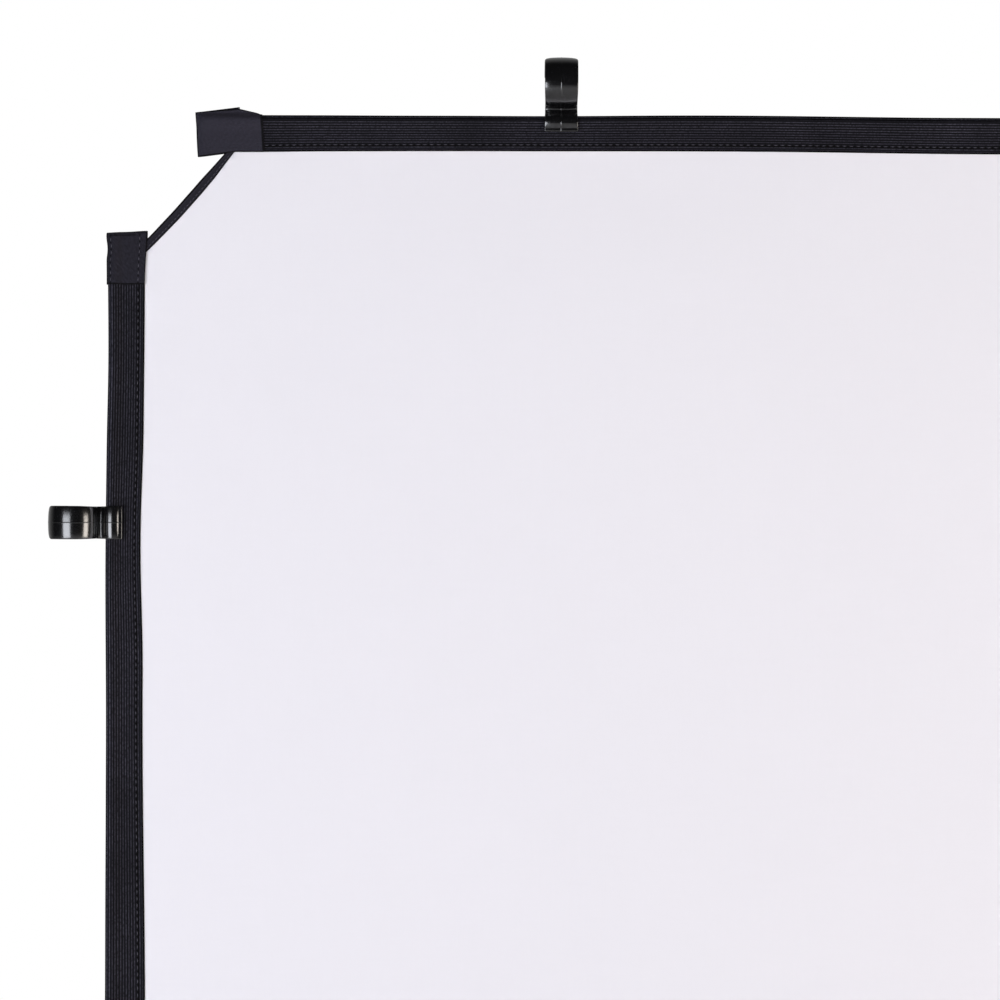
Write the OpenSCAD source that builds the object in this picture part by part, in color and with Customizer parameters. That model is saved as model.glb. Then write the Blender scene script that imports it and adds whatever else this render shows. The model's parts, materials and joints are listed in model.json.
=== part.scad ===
// Clip-on fabric cover for a rigid light-control frame.
// A white sheet with cut-off corners is sewn into four ribbed elastic hems. Each hem is folded round
// a stiffening rod, ends in two folded webbing pockets, and carries two plastic clips that snap over
// the frame's tube. X runs to the right, Y away from the viewer and Z up; the origin is the middle of
// the sheet.

/* [Frame that the cover fits] */
// Outer width of the tube frame
frame_w = 1100; // [900:10:2000]
// Outer height of the tube frame
frame_h = 1100; // [900:10:2000]
// Diameter of the frame's tube
tube_d = 28; // [20:0.5:35]

/* [Sheet] */
// Thickness of the sheet
sheet_t = 0.4; // [0.2:0.05:0.8]
// How far along the side hems, from the hem's corner, the white of the cut-off corner starts
cut_side = 95; // [84:1:110]
// How far along the top and bottom hems, from the hem's corner, the white starts
cut_top = 86.5; // [66:0.5:105]

/* [Hem] */
// Width of the folded elastic, from its outer fold to its inner edge
hem_w = 24.5; // [20:0.5:35]
// Thickness of one layer of elastic
elastic_t = 0.9; // [0.6:0.05:1.4]
// Angle at which the two layers close behind the rod
closing_angle = 30; // [22:1:40]

/* [Rod] */
// Diameter of the stiffening rod in each hem
rod_d = 6; // [4:0.25:8]
// Length of the soft cap on each end of a rod
cap_l = 14; // [8:0.5:16]
// Thickness of the cap's closed end
cap_end_t = 2; // [1:0.25:4]

/* [End pockets] */
// Thickness of the webbing
webbing_t = 0.8; // [0.5:0.05:1.2]
// Distance from the hem's corner to the fold of a pocket on the top or bottom hem
top_pocket_at = 59.5; // [56:0.5:64]
// Length of a pocket on the top or bottom hem
top_pocket_l = 45; // [40:1:60]
// Distance from the hem's corner to the fold of a pocket on a side hem
side_pocket_at = 79; // [70:1:80]
// Length of a pocket on a side hem
side_pocket_l = 35.5; // [30:0.5:50]
// How far the webbing stands past the elastic's edges
pocket_over = 0.6; // [0.3:0.1:1.5]
// Droop of the empty end of a top or bottom pocket, in degrees
pocket_droop = 6.9; // [0:0.1:8]
// Distance from the fold at which the drooping end stands out furthest
pocket_peak_at = 28; // [20:1:32]
// How far it stands out there past the hem's outer fold
pocket_rise = 5.3; // [3.5:0.1:8]
// How much further a side pocket stands past the elastic at its fold, on the sheet's side
pocket_flare = 1.4; // [0:0.1:3]

/* [Corner tape] */
// Width of the tape that binds a cut-off corner
tape_w = 6; // [4:0.25:9]
// Thickness of one layer of the tape
tape_t = 0.8; // [0.4:0.05:1.2]
// How far the taut tape bows in at its middle
tape_bow = 1.5; // [0:0.1:4]

/* [Clips] */
// Width of a clip, along the hem
clip_w = 22.5; // [14:0.5:30]
// Wall of the ring that grips the frame's tube
ring_wall = 3.2; // [2.2:0.1:4.5]
// Wall of the jaw that holds the hem
jaw_wall = 3; // [2.2:0.1:4]
// Distance from the rod's axis to the frame tube's axis
clip_reach = 26.5; // [26:0.1:34]
// How far the jaw's lips reach past the rod's axis, over the hem
lip_reach = 6.8; // [5:0.1:7]
// Radius of the blend between the ring and the jaw
neck_blend = 1.5; // [1:0.1:4]
// Distance from the hem's corner to the middle of a clip on the top or bottom hem
top_clip_at = 306; // [150:1:420]
// Distance from the hem's corner to the middle of a clip on a side hem
side_clip_at = 276; // [150:1:420]

/* [Hidden] */
$fn = 96;

// Clearances
rod_gap = 0.1;        // rod in its tunnel, all round
cap_gap = 0.05;       // rod in its cap, all round
pocket_gap = 0.05;    // hem in its end pocket, all round
end_gap = 0.3;        // between a cap and what it meets end on
jaw_gap = 0.3;        // hem in the jaw's round part, all round
jaw_slot_gap = 0.15;  // hem between the jaw's straight lips, each side
sheet_gap = 0.7;      // between the sheet's edge and where the hem closes
past = 1;             // how far a cutting shape runs past what it cuts

// The hem's section, seen along the rod: a loop round the rod that closes to two flat layers
tunnel_r = rod_d / 2 + rod_gap;
hem_r = tunnel_r + elastic_t;
sheet_half = sheet_t / 2;
hem_half = sheet_half + elastic_t;
pocket_r = hem_r + pocket_gap + webbing_t;
pocket_half = hem_half + pocket_gap + webbing_t;

// The cover's size over the outer folds of its hems: the clips bridge from the rods to the tube
cover_w = frame_w - tube_d - 2 * (clip_reach - hem_r);
cover_h = frame_h - tube_d - 2 * (clip_reach - hem_r);

// The sheet's edge lies between the hem's layers, just clear of where they close
sheet_in = hem_r + flat_from(tunnel_r, sheet_half) + sheet_gap;

// The drooping end leans: its fold is this much further in at the sheet's side than at the outside
pocket_lean = (hem_w + pocket_rise) * tan(pocket_droop);

// Where a pocket's inside starts, and the rod's cap and the elastic in it, from the hem's corner
function inside_from(side) =
    webbing_t + (side ? side_pocket_at : top_pocket_at + pocket_lean);
function cap_from(side) = inside_from(side) + end_gap;
function elastic_from(side) = cap_from(side) + cap_l + end_gap;

// Clip
bore_r = tube_d / 2;
ring_r = bore_r + ring_wall;
jaw_bore_r = hem_r + jaw_gap;
jaw_r = jaw_bore_r + jaw_wall;
slot_half = hem_r + jaw_slot_gap;
bite = 0.1;           // how far a rounded end runs into the face that it ends
lip_r = 1.1;          // rounding of a jaw lip
lip_at = lip_r - lip_reach;
bead_r = 2.2;         // rolled lip at the ring's outer end, level with the ring's back
bead_angle = asin((ring_r - bead_r) / (bore_r + bead_r - bite));
heel_r = ring_wall / 2 + bite;
heel_angle = 157;     // where the ring ends beside the neck, from the outward direction

ENDS_TOP = ["top_left", "top_right", "bottom_left", "bottom_right"];
ENDS_SIDE = ["left_upper", "right_upper", "left_lower", "right_lower"];
ENDS = concat(ENDS_TOP, ENDS_SIDE);

// ---- Section of the hem -------------------------------------------------------------------------
// Sections are drawn with depth to the right and the outward direction up, centred on the rod.

// How far behind the rod's axis a loop of radius r has closed to half thickness h
function flat_from(r, h) = (r - h * cos(closing_angle)) / sin(closing_angle);

// A loop of radius r round the rod, and its two layers, h each side of the middle, to `inward`,
// drawn `length` along +X
module loop(r, h, inward, length) {
    flat = flat_from(r - bite, h);
    foot = (r - bite) * [cos(closing_angle), -sin(closing_angle)];
    along_x(length) circle(r);
    along_x(length) polygon([
        [0, 0], foot, [h, -flat], [h, -inward],
        [-h, -inward], [-h, -flat], [-foot[0], foot[1]]
    ]);
}

// Draws a section along +X
module along_x(length) {
    rotate([90, 0, 90]) linear_extrude(length) children();
}

// Draws an outline in the plane of the sheet, `thick` through, on both sides of the middle
module in_plane(thick) {
    rotate([90, 0, 0]) linear_extrude(thick, center = true) children();
}

// ---- Places -------------------------------------------------------------------------------------
// Everything at a corner is drawn at the top left one: X along the hem from the hem's corner, Z = 0
// at the outer fold. These move it to the corner or the side that it belongs to.

module flipped(x, z) {
    mirror([x ? 1 : 0, 0, 0]) mirror([0, 0, z ? 1 : 0]) children();
}

module at_corner(x_flip, z_flip) {
    flipped(x_flip, z_flip) translate([-cover_w / 2, 0, cover_h / 2]) children();
}

// Turns a piece of a top hem into the same piece of a left hem
module on_side() {
    mirror([1, 0, 1]) children();
}

module at_end(name) {
    x_flip = name == "top_right" || name == "bottom_right"
        || name == "right_upper" || name == "right_lower";
    z_flip = name == "bottom_left" || name == "bottom_right"
        || name == "left_lower" || name == "right_lower";
    at_corner(x_flip, z_flip) {
        if (is_side(name)) on_side() children();
        else children();
    }
}

function is_side(name) = len([for (e = ENDS_SIDE) if (e == name) e]) > 0;

// ---- Sheet --------------------------------------------------------------------------------------

// The tape's inner edge, from the top hem to the side hem, in the corner's own axes
tape_a = [cut_top, -hem_w];
tape_b = [hem_w, -cut_side];
tape_run = (tape_b - tape_a) / norm(tape_b - tape_a);
tape_out = [tape_run[1], -tape_run[0]];     // towards the corner that is cut off

// A point of the line that lies `out` outside the tape's inner edge, `along` of the way
function cut_line(along, out) = tape_a + along * (tape_b - tape_a) + out * tape_out;

// Where that line, taken on past its ends, crosses a depth z or a distance x
function cut_at_z(out, z) =
    let (p = cut_line(0, out)) p + tape_run * (z - p[1]) / tape_run[1];
function cut_at_x(out, x) =
    let (p = cut_line(0, out)) p + tape_run * (x - p[0]) / tape_run[0];

module sheet_outline() {
    edge = tape_w - tape_t - tape_bow / 2;
    top = cut_at_z(edge, -sheet_in);
    side = cut_at_x(edge, sheet_in);
    half = [cover_w / 2, cover_h / 2];
    corner = [[-half[0] + side[0], half[1] + side[1]], [-half[0] + top[0], half[1] + top[1]]];
    polygon([
        corner[0], corner[1],
        [-corner[1][0], corner[1][1]], [-corner[0][0], corner[0][1]],
        [-corner[0][0], -corner[0][1]], [-corner[1][0], -corner[1][1]],
        [corner[1][0], -corner[1][1]], [corner[0][0], -corner[0][1]]
    ]);
}

module fabric_panel() {
    color("#edeaf1") in_plane(sheet_t) sheet_outline();
}

// ---- Hems ---------------------------------------------------------------------------------------

// An elastic band over its whole length, on the top hem of a cover `across` wide
module hem_band(across, from) {
    color("#232228")
        translate([-across / 2 + from, 0, -hem_r]) difference() {
            loop(hem_r, hem_half, hem_w - hem_r, across - 2 * from);
            translate([-past, 0, 0])
                loop(tunnel_r, sheet_half, hem_w - hem_r + past, across - 2 * from + 2 * past);
        }
}

module hem_rod(across, from) {
    color("#d9d4c0")
        translate([-across / 2 + from, 0, -hem_r])
            rotate([0, 90, 0]) cylinder(h = across - 2 * from, d = rod_d);
}

module rod_cap(at) {
    color("#3a3a3c")
        translate([at, 0, -hem_r])
            rotate([0, 90, 0]) difference() {
                cylinder(h = cap_l, r = hem_r - pocket_gap);
                translate([0, 0, cap_end_t]) cylinder(h = cap_l, r = rod_d / 2 + cap_gap);
            }
}

// Moves a top hem's piece to the hem that is named
module on_hem(name) {
    if (name == "top" || name == "bottom")
        flipped(false, name == "bottom") translate([0, 0, cover_h / 2]) children();
    else
        flipped(name == "right", false) translate([-cover_w / 2, 0, 0]) on_side() children();
}

// ---- End pockets --------------------------------------------------------------------------------

// Outline of a pocket on a top or bottom hem: straight on the elastic, and drooping at its empty end
module drooping_outline() {
    fold = top_pocket_at;
    mouth = fold + top_pocket_l;
    peak = fold + pocket_peak_at;
    kink = [3, 2];      // the upper edge bends down by this, just past its peak
    fall = pocket_peak_at * tan(pocket_droop);
    polygon([
        [fold, pocket_rise - fall],
        [peak, pocket_rise],
        [peak + kink[0], pocket_rise - kink[1]],
        [mouth, pocket_over],
        [mouth, -hem_w - pocket_over],
        [peak, -hem_w - pocket_over],
        [fold + pocket_lean, -hem_w - pocket_over - fall]
    ]);
}

// Outline of a pocket on a side hem: it spreads a little towards its fold
module straight_outline() {
    fold = side_pocket_at;
    mouth = fold + side_pocket_l;
    polygon([
        [fold, pocket_over],
        [mouth, pocket_over],
        [mouth, -hem_w - pocket_over],
        [fold, -hem_w - pocket_over - pocket_flare]
    ]);
}

// Webbing folded over the hem's end, with room for the hem, the rod's cap and the sheet
module end_pocket(name) {
    side = is_side(name);
    at = side ? side_pocket_at : top_pocket_at;
    length = side ? side_pocket_l : top_pocket_l;
    color("#312f3a")
        difference() {
            at_end(name) difference() {
                union() {
                    in_plane(2 * pocket_half) pocket_outline(name);
                    intersection() {
                        translate([at, 0, -hem_r])
                            loop(pocket_r, pocket_half, hem_w - hem_r, length);
                        in_plane(2 * pocket_r + past) pocket_outline(name);
                    }
                }
                translate([inside_from(side), 0, -hem_r])
                    loop(hem_r + pocket_gap, hem_half + pocket_gap, hem_w - hem_r, length);
            }
            in_plane(sheet_t) sheet_outline();
        }
}

module pocket_outline(name) {
    if (is_side(name)) straight_outline();
    else drooping_outline();
}

// ---- Corner tape --------------------------------------------------------------------------------

// The bowed strip between the two pockets of a corner, run on past its ends to be cut off by them
module tape_outline() {
    steps = 8;
    run_on = 0.08;      // share of its length
    stations = [for (i = [0 : steps]) -run_on + i * (1 + 2 * run_on) / steps];
    inner = [for (t = stations) cut_line(t, -tape_bow * bow(t))];
    outer = [for (t = stations) cut_line(t, tape_w - tape_bow / 2 * bow(t))];
    polygon(concat(inner, [for (i = [steps : -1 : 0]) outer[i]]));
}

// 0 at the ends of the tape and 1 at its middle
function bow(along) = 4 * along * (1 - along);

module corner_tape(name) {
    color("#232228")
        difference() {
            at_end(name) in_plane(2 * (sheet_half + tape_t)) difference() {
                tape_outline();
                drooping_outline();
                flip_outline() straight_outline();
            }
            in_plane(sheet_t) sheet_outline();
        }
}

// The outline's own version of on_side
module flip_outline() {
    mirror([1, 1]) children();
}

// ---- Clips --------------------------------------------------------------------------------------

// Profile of a clip, centred on the rod, outward up and the front of the cover to the left
module clip_profile() {
    difference() {
        union() {
            translate([0, clip_reach]) open_ring();
            difference() {
                circle(jaw_r);
                translate([-jaw_r, lip_at - 2 * jaw_r]) square(2 * jaw_r);
            }
            neck();
        }
        translate([0, clip_reach]) circle(bore_r);
        circle(jaw_bore_r);
        translate([-slot_half, lip_at - past]) square([2 * slot_half, past - lip_at]);
    }
    for (side = [-1, 1]) translate([side * (slot_half + lip_r - bite), lip_at]) circle(lip_r);
}

// The ring before its bore is cut: open at the back, from the bead round to the heel by the neck
module open_ring() {
    far = 3 * ring_r;   // well outside the ring
    difference() {
        circle(ring_r);
        polygon([
            [0, 0],
            far * [sin(bead_angle), cos(bead_angle)],
            far * [1, 0],
            far * [sin(heel_angle), cos(heel_angle)]
        ]);
    }
    ring_end(bead_r, bead_angle);
    ring_end(heel_r, heel_angle);
}

module ring_end(r, angle) {
    out = bore_r + r - bite;
    translate(out * [sin(angle), cos(angle)]) circle(r);
}

module neck() {
    blend = blend_centre();
    difference() {
        polygon([[0, 0], blend, [0, clip_reach], [-blend[0], blend[1]]]);
        for (side = [-1, 1]) translate([side * blend[0], blend[1]]) circle(neck_blend);
    }
}

// Centre of the blend circle that touches both the ring and the jaw from outside
function blend_centre() =
    let (
        a = jaw_r + neck_blend - bite / 2,
        b = ring_r + neck_blend - bite / 2,
        up = (a * a - b * b + clip_reach * clip_reach) / (2 * clip_reach)
    ) [sqrt(a * a - up * up), up];

module clip(name) {
    at = is_side(name) ? side_clip_at : top_clip_at;
    color("#0d0d0e")
        at_end(name)
            translate([at - clip_w / 2, 0, -hem_r])
                along_x(clip_w) clip_profile();
}

// ---- Nodes --------------------------------------------------------------------------------------

module hem_piece(name, kind) {
    side = name == "left" || name == "right";
    across = side ? cover_h : cover_w;
    on_hem(name) {
        if (kind == "band") hem_band(across, elastic_from(side));
        else hem_rod(across, cap_from(side) + cap_end_t);
    }
}

fabric_panel();
for (side = ["top", "bottom", "left", "right"]) {
    hem_piece(side, "band");
    hem_piece(side, "rod");
}
for (e = ENDS) {
    at_end(e) rod_cap(cap_from(is_side(e)));
    end_pocket(e);
    clip(e);
}
for (e = ENDS_TOP)
    corner_tape(e);
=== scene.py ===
"""Clip-on diffusion cover: a white sheet in ribbed elastic hems, with folded webbing pockets at the
hems' ends, bound cut-off corners and moulded snap clips.

X runs to the right, Y away from the viewer and Z up, in metres. A hem's pieces are drawn in hem
space, which is the top left corner's: X along the hem from the hem's corner, Y through the cover
and Z = 0 at the outer fold, so that the sheet lies at negative Z. hem_place() takes them to the
side or corner that they belong to."""

import json
import math
import random

import bmesh
import bpy
from mathutils import Matrix, Vector, noise


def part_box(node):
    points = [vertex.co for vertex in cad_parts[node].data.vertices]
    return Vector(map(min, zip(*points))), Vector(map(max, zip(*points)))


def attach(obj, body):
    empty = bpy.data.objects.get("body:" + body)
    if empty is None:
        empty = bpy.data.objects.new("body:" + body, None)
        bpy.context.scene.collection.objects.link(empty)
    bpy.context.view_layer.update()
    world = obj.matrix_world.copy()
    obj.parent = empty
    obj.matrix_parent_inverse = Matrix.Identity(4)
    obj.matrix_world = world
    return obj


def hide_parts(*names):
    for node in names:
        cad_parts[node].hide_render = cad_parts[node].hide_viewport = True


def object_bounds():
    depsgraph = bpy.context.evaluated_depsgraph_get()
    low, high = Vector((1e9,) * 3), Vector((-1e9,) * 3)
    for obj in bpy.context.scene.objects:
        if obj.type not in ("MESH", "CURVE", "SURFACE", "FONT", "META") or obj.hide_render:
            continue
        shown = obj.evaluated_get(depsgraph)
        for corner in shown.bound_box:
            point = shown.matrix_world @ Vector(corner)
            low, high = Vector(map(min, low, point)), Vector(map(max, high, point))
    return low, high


bl_info = {
    "name": "Clip-on Diffusion Cover",
    "version": (1, 0, 0),
    "blender": (4, 5, 0),
    "location": "View3D > Sidebar > Cover",
    "description": "Models a clip-on diffusion cover: sheet, hems, pockets, corner tapes and clips",
    "category": "Object",
}

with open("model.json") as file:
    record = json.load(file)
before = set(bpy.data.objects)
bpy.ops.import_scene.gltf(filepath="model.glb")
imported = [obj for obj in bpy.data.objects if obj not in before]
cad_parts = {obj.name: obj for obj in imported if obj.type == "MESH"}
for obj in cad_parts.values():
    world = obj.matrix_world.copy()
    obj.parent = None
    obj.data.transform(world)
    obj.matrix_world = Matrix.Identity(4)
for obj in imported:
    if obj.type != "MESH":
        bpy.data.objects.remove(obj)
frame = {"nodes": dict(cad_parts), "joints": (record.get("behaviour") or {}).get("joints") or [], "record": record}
CAD_BOX = [list(corner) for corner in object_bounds()]
MM = 0.001
BODY = "cover"

# Which way each hem, corner and hem end lies: mirrored in X, mirrored in Z, and on a side hem
HEMS = {
    "top": (False, False, False),
    "bottom": (False, True, False),
    "left": (False, False, True),
    "right": (True, False, True),
}
CORNERS = {
    "top_left": (False, False, False),
    "top_right": (True, False, False),
    "bottom_left": (False, True, False),
    "bottom_right": (True, True, False),
}
HEM_ENDS = {
    **CORNERS,
    "left_upper": (False, False, True),
    "right_upper": (True, False, True),
    "left_lower": (False, True, True),
    "right_lower": (True, True, True),
}

# ---- Sizes that the frame sets -------------------------------------------------------------------

HALF_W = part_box("hem_band_right")[1].x
HALF_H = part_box("hem_band_top")[1].z
HEM_W = HALF_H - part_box("hem_band_top")[0].z
HEM_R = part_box("hem_band_top")[1].y
SHEET_T = 2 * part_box("fabric_panel")[1].y
WEBBING_W = HEM_W + 1.2 * MM
# Half the gap between the two layers of a hem or a tape, which the sheet fills
SLIT = SHEET_T / 2 + 0.03 * MM
# A side pocket's stitches: one length, and where its rows lie, as shares of its width from outside
SIDE_STITCH = 4.5 * MM
SIDE_ROWS = (0.1, 0.82)
# The pockets cover the hems' own stitching as far as this from a hem's end
UNDER_POCKET = 24 * MM
THREAD_W = 0.5 * MM
# How finely the sheet and the hems are divided
SHEET_CELL, HEM_STEP = 7 * MM, 8 * MM
JOINTS = {joint["name"]: joint for joint in frame["joints"]}
MOUNTS = {mount["name"]: mount for mount in frame["record"]["mounts"]}


def hem_place(flip_x, flip_z, on_side):
    """The matrix that takes hem space to the row's frame."""
    turn = Matrix(((0, 0, -1, 0), (0, 1, 0, 0), (-1, 0, 0, 0), (0, 0, 0, 1)))
    at = Matrix.Translation((-HALF_W, 0, HALF_H)) @ (turn if on_side else Matrix())
    return Matrix.Diagonal((-1 if flip_x else 1, 1, -1 if flip_z else 1, 1)) @ at


def hem_box(node, way):
    """A CAD node's lowest and highest corner in hem space."""
    back = hem_place(*way).inverted()
    ends = [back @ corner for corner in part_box(node)]
    return Vector(map(min, *ends)), Vector(map(max, *ends))


# ---- Small tools ---------------------------------------------------------------------------------


def smooth(edge_low, edge_high, x):
    """0 below the low edge, 1 above the high one, and an even bend between them."""
    t = min(max((x - edge_low) / (edge_high - edge_low), 0), 1)
    return t * t * (3 - 2 * t)


def mix(a, b, t):
    return a + (b - a) * t


def hump(x, at, reach):
    """1 at a place and 0 from `reach` away."""
    return math.cos(min(abs(x - at) / reach, 1) * math.pi / 2) ** 2


def steps(low, high, size):
    """Even stations from low to high, no further than size apart."""
    count = max(1, math.ceil((high - low) / size - 1e-6))
    return [low + (high - low) * i / count for i in range(count + 1)]


def linear(hexadecimal):
    """An sRGB hex colour as linear red, green and blue."""
    values = [int(hexadecimal[i : i + 2], 16) / 255 for i in (1, 3, 5)]
    return [v / 12.92 if v <= 0.04045 else ((v + 0.055) / 1.055) ** 2.4 for v in values]


def arc(centre, radius, start, end, size=0.45 * MM):
    """Points of an arc, with angles in degrees, from start to end whichever way that is."""
    count = max(2, math.ceil(abs(math.radians(end - start)) * radius / size))
    angles = [math.radians(start + (end - start) * i / count) for i in range(count + 1)]
    return [Vector(centre) + radius * Vector((math.cos(a), math.sin(a))) for a in angles]


def bearing(centre, point):
    """The direction from a centre to a point, in degrees."""
    d = Vector(point) - Vector(centre)
    return math.degrees(math.atan2(d.y, d.x))


def crossing(centre_a, radius_a, centre_b, radius_b, left):
    """Where two circles cross, on the left or the right of the line from a to b."""
    a, b = Vector(centre_a), Vector(centre_b)
    d = (b - a).length
    along = (radius_a**2 - radius_b**2 + d**2) / (2 * d)
    off = math.sqrt(radius_a**2 - along**2)
    run = (b - a) / d
    side = Vector((-run.y, run.x)) if left else Vector((run.y, -run.x))
    return a + run * along + side * off


# ---- Meshes --------------------------------------------------------------------------------------


def new_bmesh():
    """A bmesh whose vertices carry their place on the cloth: along and across, in metres."""
    bm = bmesh.new()
    bm.verts.layers.float.new("along")
    bm.verts.layers.float.new("across")
    bm.verts.layers.int.new("point")
    return bm


def sweep(bm, section, stations, shape, closed=True, cap=True, across_of=None):
    """Extrudes a section from station to station. shape(station, number, point) places a point, and
    across_of(point) gives its place across the cloth, which is otherwise the run of the section."""
    along = bm.verts.layers.float["along"]
    across = bm.verts.layers.float["across"]
    point = bm.verts.layers.int["point"]
    ring, run = [], 0
    for i, p in enumerate(section):
        run += (Vector(p) - Vector(section[i - 1])).length if i else 0
        v = bm.verts.new(shape(stations[0], i, p))
        v[along], v[across], v[point] = stations[0], across_of(p) if across_of else run, i
        ring.append(v)
    pairs = zip(ring, ring[1:] + (ring[:1] if closed else []))
    edges = first = [bm.edges.new(pair) for pair in pairs]
    for station in stations[1:]:
        made = bmesh.ops.extrude_edge_only(bm, edges=edges)["geom"]
        fresh = {g for g in made if isinstance(g, bmesh.types.BMVert)}
        for v in fresh:
            v[along] = station
            v.co = shape(station, v[point], section[v[point]])
        edges = [
            g
            for g in made
            if isinstance(g, bmesh.types.BMEdge) and all(v in fresh for v in g.verts)
        ]
    if cap:
        bmesh.ops.edgeloop_fill(bm, edges=first)
        bmesh.ops.edgeloop_fill(bm, edges=edges)
    return edges


def finished(bm, name, material, way=None, body=BODY, replaces=(), closed=True):
    """Turns a bmesh into a piece that rides on a body and stands for its CAD nodes. What was drawn
    in hem space goes to its own side, and keeps its faces outwards where that mirrors it."""
    if way:
        matrix = hem_place(*way)
        bmesh.ops.transform(bm, matrix=matrix, verts=bm.verts)
        if matrix.determinant() < 0:
            bmesh.ops.reverse_faces(bm, faces=bm.faces)
    if closed:
        bmesh.ops.recalc_face_normals(bm, faces=bm.faces)
    along = bm.verts.layers.float["along"]
    across = bm.verts.layers.float["across"]
    cloth = bm.loops.layers.uv.new("cloth")
    for face in bm.faces:
        face.smooth = True
        for loop in face.loops:
            loop[cloth].uv = loop.vert[along], loop.vert[across]
    mesh = bpy.data.meshes.new(name)
    bm.to_mesh(mesh)
    bm.free()
    piece = bpy.data.objects.new(name, mesh)
    bpy.context.scene.collection.objects.link(piece)
    mesh.materials.append(material)
    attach(piece, body)
    if replaces:
        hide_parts(*replaces)
    return piece


# ---- Hem shape -----------------------------------------------------------------------------------


def hem_half(u, sizes):
    """Half the hem's thickness at a distance u in from its outer fold."""
    slope = math.radians(sizes.closing_angle)
    foot = HEM_R * (1 + math.sin(slope))
    if u < foot:
        return math.sqrt(max(HEM_R**2 - (u - HEM_R) ** 2, 0))
    flat = SHEET_T / 2 + sizes.elastic_thickness
    return max(flat, HEM_R * math.cos(slope) - (u - foot) * math.tan(slope))


def inner_edge(x, on_side, length):
    """How much wider or narrower the elastic lies here: drawn in at its clips, slack between."""
    near = min(x, length - x)
    if on_side:
        clip = hem_place_of_clip("left_upper")
        slack = 2.6 * MM * hump(x, 0.61 * length, 0.23 * length)
        near_clip = hump(near, clip + 0.014, 0.085)
        return slack + 0.4 * MM * hump(near, 0.12, 0.1) - 1.8 * MM * near_clip
    drawn_in = 0.75 * hump(x, 0.27, 0.18) + 1.1 * hump(x, 0.43, 0.17)
    return (0.5 * hump(near, 0.09, 0.06) - drawn_in) * MM


def fold_ripple(x, on_side, length, seed):
    """How far the outer fold stands out or in: a little, because a stiff rod lies in it."""
    near = min(x, length - x)
    if on_side:
        bent = 0.85 * hump(near, 0.3, 0.14) - 0.5 * hump(near, 0.16, 0.07)
    else:
        bent = 0.95 * hump(x, 0.42, 0.15)
    return (bent + 0.12 * noise.noise(Vector((x / 0.07, seed, 0)))) * MM


def hem_place_of_clip(name):
    """How far along its hem a clip's middle is from the hem's corner."""
    pivot = Vector(JOINTS["clip_swivel_" + name]["pos_m"])
    return (hem_place(*HEM_ENDS[name]).inverted() @ pivot).x


def hem_point(x, u, way, seed):
    """How far out the elastic's point u in from the fold really lies, with its slack."""
    length = 2 * (HALF_H if way[2] else HALF_W)
    share = min(max(u / HEM_W, 0), 1)
    wide = share * inner_edge(x, way[2], length)
    return -u - wide + (1 - share) * fold_ripple(x, way[2], length, seed)


# ---- Materials -----------------------------------------------------------------------------------


def add(tree, kind, inputs=(), operation=None, **settings):
    """Adds a shader node of a kind, such as "Math", with its settings and inputs."""
    node = tree.nodes.new("ShaderNode" + kind)
    if operation:
        node.operation = operation
    for name, value in settings.items():
        setattr(node, name, value)
    feed(tree, node, inputs)
    return node


def feed(tree, node, inputs):
    """Fills or links a node's inputs, given by name or in their order. A node stands for its first
    output."""
    for key, value in inputs.items() if isinstance(inputs, dict) else enumerate(inputs):
        if isinstance(value, bpy.types.Node):
            value = value.outputs[0]
        if isinstance(value, bpy.types.NodeSocket):
            tree.links.new(value, node.inputs[key])
        else:
            node.inputs[key].default_value = value


def new_material(name, surface):
    """A material with one Principled shader, whose even values are set on its own sockets."""
    material = bpy.data.materials.new(name)
    material.use_nodes = True
    tree = material.node_tree
    tree.nodes.clear()
    shader = add(tree, "BsdfPrincipled", surface)
    add(tree, "OutputMaterial", {"Surface": shader})
    return material, tree, shader


def rgba(colour):
    return (*colour[:3], 1.0)


def cloth_axes(tree):
    """Along and across the cloth, in millimetres, from the piece's own map."""
    place = add(tree, "UVMap", uv_map="cloth")
    in_mm = add(tree, "VectorMath", {0: place, "Scale": 1 / MM}, "SCALE")
    parts = add(tree, "SeparateXYZ", {0: in_mm})
    return parts.outputs["X"], parts.outputs["Y"]


def woven_nylon(look):
    """Plain-woven white nylon, calendered flat: matt, with threads that barely show."""
    material, tree, shader = new_material(
        "woven_nylon_sheet", {"Roughness": 0.8, "Specular IOR Level": 0.3, "Sheen Weight": 0.05}
    )
    place = add(tree, "TexCoord").outputs["Object"]
    # Threads are about 0.3 mm apart, and are drawn at 1.1 mm, where they still show
    threads = []
    for stretch in ((1 / 1.1, 0.05, 0.02), (0.02, 0.05, 1 / 1.1)):
        scaled = add(tree, "Mapping", {"Vector": place, "Scale": [s / MM for s in stretch]})
        threads.append(add(tree, "TexNoise", {"Vector": scaled, "Scale": 1.0, "Detail": 1.0}))
    weave = add(tree, "Math", threads, "ADD")
    # Slow changes in the cloth's density, about 250 mm across
    cloud = add(tree, "TexNoise", {"Vector": place, "Scale": 1 / 0.25, "Detail": 1.0})
    shade = add(tree, "Math", [weave, 0.012, 0.0], "MULTIPLY_ADD")
    shade_all = add(tree, "Math", [cloud, 0.015, shade], "MULTIPLY_ADD")
    level = add(tree, "Math", [shade_all, 0.98], "ADD")
    colour = add(tree, "VectorMath", {0: look.sheet_colour, "Scale": level}, "SCALE")
    bump = add(tree, "Bump", {"Height": weave, "Strength": 0.25, "Distance": 0.05 * MM})
    feed(tree, shader, {"Base Color": colour, "Normal": bump})
    return material


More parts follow.
